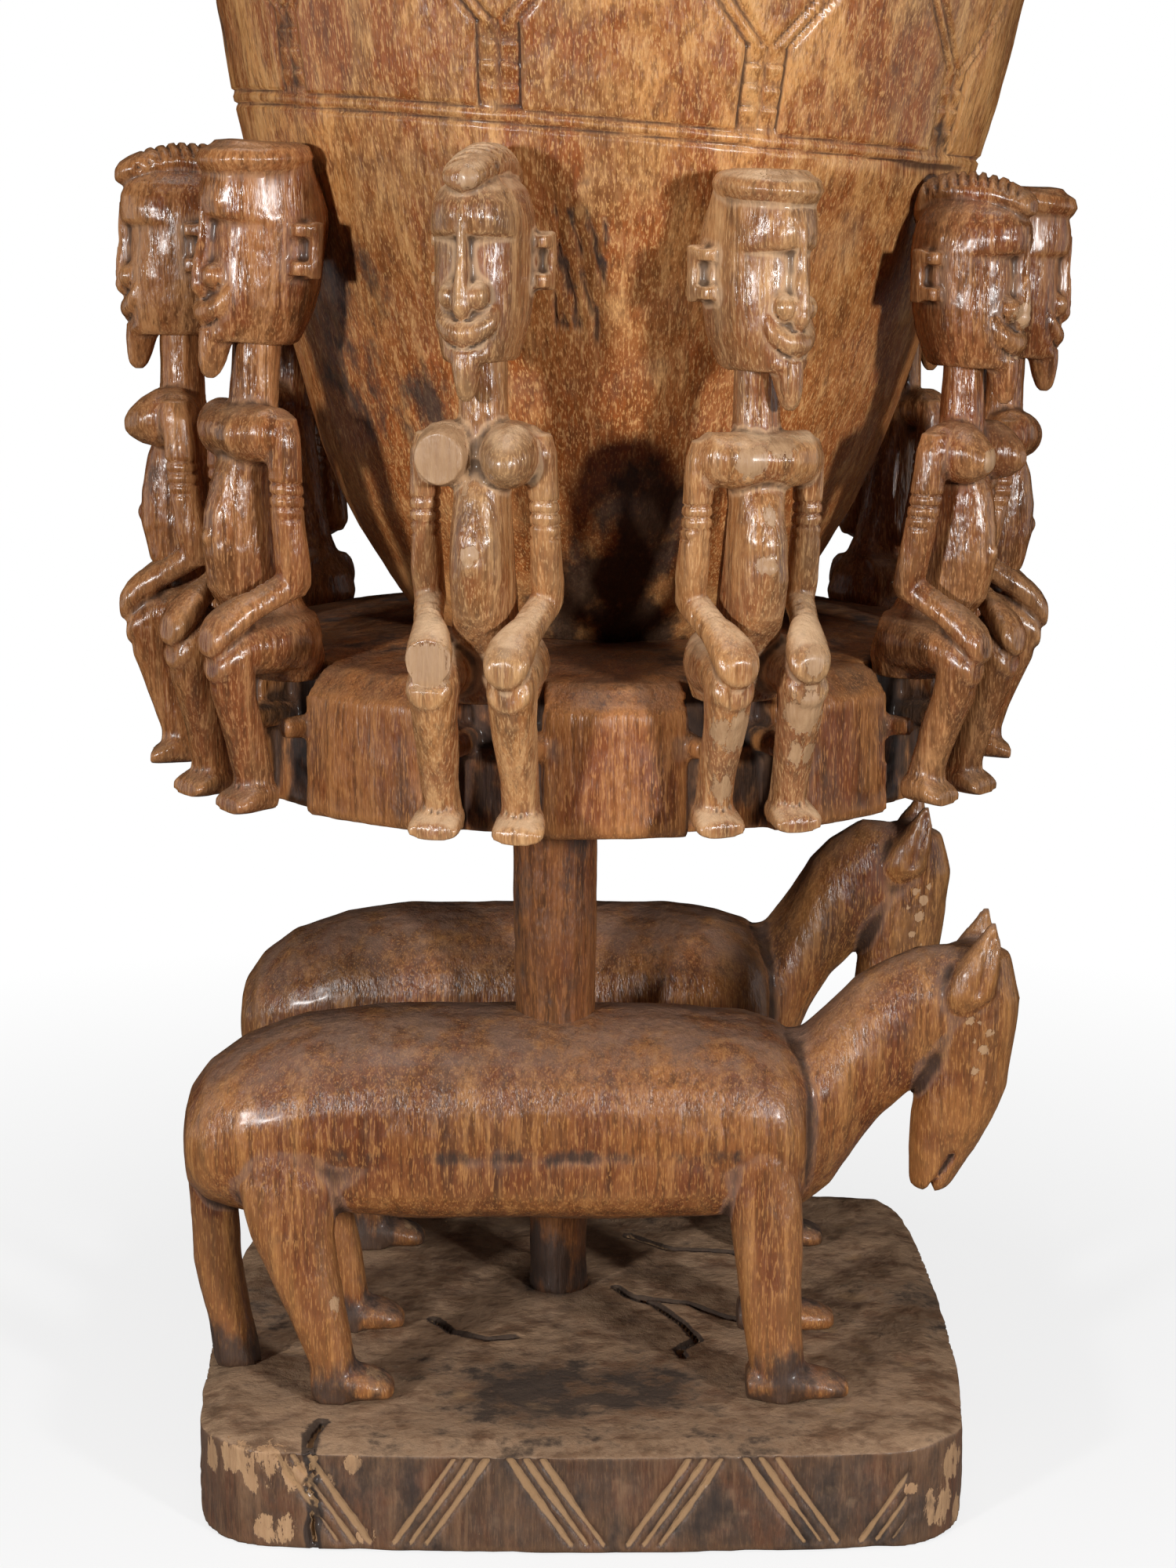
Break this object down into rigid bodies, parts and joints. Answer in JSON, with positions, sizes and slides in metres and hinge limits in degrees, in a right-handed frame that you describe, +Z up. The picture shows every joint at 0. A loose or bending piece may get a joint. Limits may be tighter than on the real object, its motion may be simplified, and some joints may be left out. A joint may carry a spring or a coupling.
{
  "type": "lidded ritual vessel",
  "caption": "Tall carved wooden ritual vessel: a lidded bowl on a disc ringed by seated figures, carried by posts and a pair of standing horses on a square plinth.",
  "frame": {"origin": "on the ground, under the line of the three posts that carry the disc", "axes": "+Z up, +X the way the two horses face, +Y from the front horse to the rear horse"},
  "size_m": [0.3732, 0.364, 0.7382],
  "materials": {
    "wood": "oiled and worn",
    "pale_wood": "oiled, rubbed by handling",
    "dark_wood": "smoked and dusty"
  },
  "bodies": {
    "vessel": {"plinth": "dark_wood", "horse_front": "wood", "horse_rear": "wood", "centre_post": "dark_wood", "saddle_post_front": "wood", "saddle_post_rear": "wood", "figure_disc": "wood", "figure_1": "pale_wood", "figure_2": "pale_wood", "figure_3": "pale_wood", "figure_4": "pale_wood", "figure_5": "pale_wood", "figure_6": "pale_wood", "figure_7": "pale_wood", "figure_8": "pale_wood", "figure_9": "pale_wood", "figure_10": "pale_wood", "bowl": "wood"},
    "lid": {"lid": "wood", "lid_horse": "wood"}
  },
  "joints": [
    {"name": "lid_lift", "type": "slide", "parent": "vessel", "child": "lid", "axis": [0.0419, 0, 0.9991], "range_m": [0, 0.2]}
  ]
}
